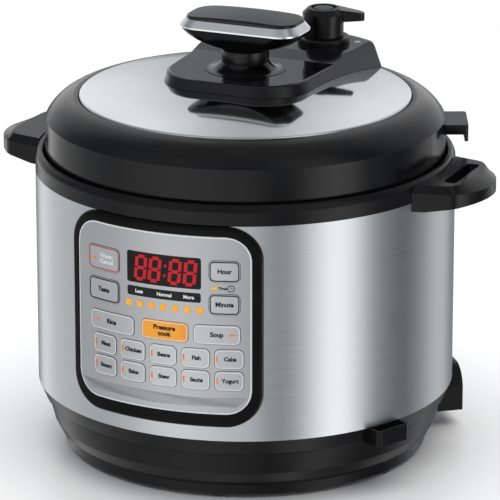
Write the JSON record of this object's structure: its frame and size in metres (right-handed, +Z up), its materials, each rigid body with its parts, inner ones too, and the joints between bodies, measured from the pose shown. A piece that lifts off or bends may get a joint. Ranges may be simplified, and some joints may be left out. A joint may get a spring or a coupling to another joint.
{
  "type": "electric pressure cooker",
  "caption": "Round electric pressure cooker: brushed steel body, curved front control panel, side handles, lift-off turning lid with a bar grip, valve and float pin.",
  "frame": {"origin": "on the standing plane, under the axis of the pot", "axes": "+Z up, control panel faces -Y, side handles along X"},
  "size_m": [0.343, 0.2961, 0.2888],
  "materials": {
    "black_base_plastic": "satin",
    "black_ring_plastic": "semi-gloss",
    "rubber_foot": "matte",
    "screw_steel": "zinc plated",
    "brushed_steel": "brushed",
    "pot_aluminium": "satin",
    "nonstick_coating": "satin",
    "spring_steel": "satin",
    "probe_aluminium": "satin",
    "circuit_board": "matte",
    "panel_bezel_gloss": "gloss",
    "panel_silver": "brushed",
    "display_glass": "gloss",
    "light_orange": "gloss",
    "membrane_film": "matte",
    "inlet_plastic": "matte",
    "pin_brass": "nickel",
    "clear_cup": "clear",
    "silicone_seal": "translucent",
    "black_lid_gloss": "gloss",
    "mirror_steel": "polished",
    "grip_plastic": "gloss",
    "grip_chrome": "polished",
    "valve_plastic": "satin",
    "float_red": "satin",
    "key_silver": "brushed",
    "key_orange": "satin"
  },
  "bodies": {
    "base": {"base_shell": "black_base_plastic", "bottom_cover": "black_base_plastic", "feet": "rubber_foot", "cover_screws": "screw_steel", "steel_sleeve": "brushed_steel", "body_ring": "black_ring_plastic", "left_handle": "black_ring_plastic", "right_handle": "black_ring_plastic", "handle_screws": "screw_steel", "outer_pot": "pot_aluminium", "pressure_diaphragm": "spring_steel", "heating_plate": "pot_aluminium", "sensor_spring": "spring_steel", "power_board": "circuit_board", "control_board": "circuit_board", "panel_bezel": "panel_bezel_gloss", "panel_faceplate": "panel_silver", "display_window": "display_glass", "indicator_lights": "light_orange", "switch_membrane": "membrane_film", "power_inlet": "inlet_plastic", "inlet_pins": "pin_brass", "inlet_hood": "black_base_plastic", "spoon_holder": "black_base_plastic", "cup_bracket": "black_base_plastic"},
    "condensate_cup": {"condensate_cup": "clear_cup"},
    "sensor_probe": {"sensor_probe": "probe_aluminium"},
    "inner_pot": {"inner_pot": "nonstick_coating"},
    "seal": {"seal_ring": "silicone_seal"},
    "lid": {"lid_ring": "black_lid_gloss", "lid_dome": "mirror_steel", "lid_pan": "pot_aluminium", "lid_screws": "screw_steel", "saddle": "black_lid_gloss", "grip_stem": "grip_plastic", "grip_body": "grip_plastic", "grip_trim": "grip_chrome", "grip_cap": "grip_plastic", "valve_collar": "valve_plastic", "exhaust_pipe": "spring_steel", "steam_filter": "spring_steel"},
    "pressure_valve": {"valve_knob": "valve_plastic"},
    "float_pin": {"float_pin": "float_red"},
    "key_cancel": {"key_cancel": "key_silver"},
    "key_taste": {"key_taste": "key_silver"},
    "key_hour": {"key_hour": "key_silver"},
    "key_minute": {"key_minute": "key_silver"},
    "key_rice": {"key_rice": "key_silver"},
    "key_pressure": {"key_pressure": "key_orange"},
    "key_soup": {"key_soup": "key_silver"},
    "key_meat": {"key_meat": "key_silver"},
    "key_chicken": {"key_chicken": "key_silver"},
    "key_beans": {"key_beans": "key_silver"},
    "key_fish": {"key_fish": "key_silver"},
    "key_cake": {"key_cake": "key_silver"},
    "key_steam": {"key_steam": "key_silver"},
    "key_bake": {"key_bake": "key_silver"},
    "key_stew": {"key_stew": "key_silver"},
    "key_saute": {"key_saute": "key_silver"},
    "key_yogurt": {"key_yogurt": "key_silver"}
  },
  "joints": [
    {"name": "pot_lift", "type": "slide", "parent": "base", "child": "inner_pot", "axis": [0, 0, 1], "range_m": [0, 0.17]},
    {"name": "lid_lift", "type": "slide", "parent": "inner_pot", "child": "seal", "axis": [0, 0, 1], "range_m": [0, 0.12]},
    {"name": "lid_turn", "type": "hinge", "parent": "seal", "child": "lid", "pos_m": [0, 0, 0.22], "axis": [0, 0, 1], "range_deg": [0, 30]},
    {"name": "valve_turn", "type": "hinge", "parent": "lid", "child": "pressure_valve", "pos_m": [0.025, 0.072, 0.265], "axis": [0, 0, 1], "range_deg": [0, 45]},
    {"name": "float_rise", "type": "slide", "parent": "lid", "child": "float_pin", "axis": [0, 0, 1], "range_m": [0, 0.004]},
    {"name": "probe_press", "type": "slide", "parent": "base", "child": "sensor_probe", "axis": [0, 0, 1], "range_m": [-0.003, 0], "stiffness_N_per_m": 400, "springref_m": 0.002, "deforming": ["sensor_spring"]},
    {"name": "cup_pull", "type": "slide", "parent": "base", "child": "condensate_cup", "axis": [0, 1, 0], "range_m": [0, 0.04]},
    {"name": "key_cancel_press", "type": "slide", "parent": "base", "child": "key_cancel", "axis": [0.2774, 0.9607, 0], "range_m": [0, 0.0004], "stiffness_N_per_m": 800, "springref_m": -0.0005},
    {"name": "key_taste_press", "type": "slide", "parent": "base", "child": "key_taste", "axis": [0.2774, 0.9607, 0], "range_m": [0, 0.0004], "stiffness_N_per_m": 800, "springref_m": -0.0005},
    {"name": "key_hour_press", "type": "slide", "parent": "base", "child": "key_hour", "axis": [-0.313, 0.9498, 0], "range_m": [0, 0.0004], "stiffness_N_per_m": 800, "springref_m": -0.0005},
    {"name": "key_minute_press", "type": "slide", "parent": "base", "child": "key_minute", "axis": [-0.313, 0.9498, 0], "range_m": [0, 0.0004], "stiffness_N_per_m": 800, "springref_m": -0.0005},
    {"name": "key_rice_press", "type": "slide", "parent": "base", "child": "key_rice", "axis": [0.2353, 0.9719, 0], "range_m": [0, 0.0004], "stiffness_N_per_m": 800, "springref_m": -0.0005},
    {"name": "key_pressure_press", "type": "slide", "parent": "base", "child": "key_pressure", "axis": [-0.0386, 0.9993, 0], "range_m": [0, 0.0004], "stiffness_N_per_m": 800, "springref_m": -0.0005},
    {"name": "key_soup_press", "type": "slide", "parent": "base", "child": "key_soup", "axis": [-0.2795, 0.9601, 0], "range_m": [0, 0.0004], "stiffness_N_per_m": 800, "springref_m": -0.0005},
    {"name": "key_meat_press", "type": "slide", "parent": "base", "child": "key_meat", "axis": [0.2726, 0.9621, 0], "range_m": [0, 0.0004], "stiffness_N_per_m": 800, "springref_m": -0.0005},
    {"name": "key_chicken_press", "type": "slide", "parent": "base", "child": "key_chicken", "axis": [0.122, 0.9925, 0], "range_m": [0, 0.0004], "stiffness_N_per_m": 800, "springref_m": -0.0005},
    {"name": "key_beans_press", "type": "slide", "parent": "base", "child": "key_beans", "axis": [-0.0315, 0.9995, 0], "range_m": [0, 0.0004], "stiffness_N_per_m": 800, "springref_m": -0.0005},
    {"name": "key_fish_press", "type": "slide", "parent": "base", "child": "key_fish", "axis": [-0.1842, 0.9829, 0], "range_m": [0, 0.0004], "stiffness_N_per_m": 800, "springref_m": -0.0005},
    {"name": "key_cake_press", "type": "slide", "parent": "base", "child": "key_cake", "axis": [-0.3326, 0.9431, 0], "range_m": [0, 0.0004], "stiffness_N_per_m": 800, "springref_m": -0.0005},
    {"name": "key_steam_press", "type": "slide", "parent": "base", "child": "key_steam", "axis": [0.2726, 0.9621, 0], "range_m": [0, 0.0004], "stiffness_N_per_m": 800, "springref_m": -0.0005},
    {"name": "key_bake_press", "type": "slide", "parent": "base", "child": "key_bake", "axis": [0.122, 0.9925, 0], "range_m": [0, 0.0004], "stiffness_N_per_m": 800, "springref_m": -0.0005},
    {"name": "key_stew_press", "type": "slide", "parent": "base", "child": "key_stew", "axis": [-0.0315, 0.9995, 0], "range_m": [0, 0.0004], "stiffness_N_per_m": 800, "springref_m": -0.0005},
    {"name": "key_saute_press", "type": "slide", "parent": "base", "child": "key_saute", "axis": [-0.1842, 0.9829, 0], "range_m": [0, 0.0004], "stiffness_N_per_m": 800, "springref_m": -0.0005},
    {"name": "key_yogurt_press", "type": "slide", "parent": "base", "child": "key_yogurt", "axis": [-0.3326, 0.9431, 0], "range_m": [0, 0.0004], "stiffness_N_per_m": 800, "springref_m": -0.0005}
  ]
}
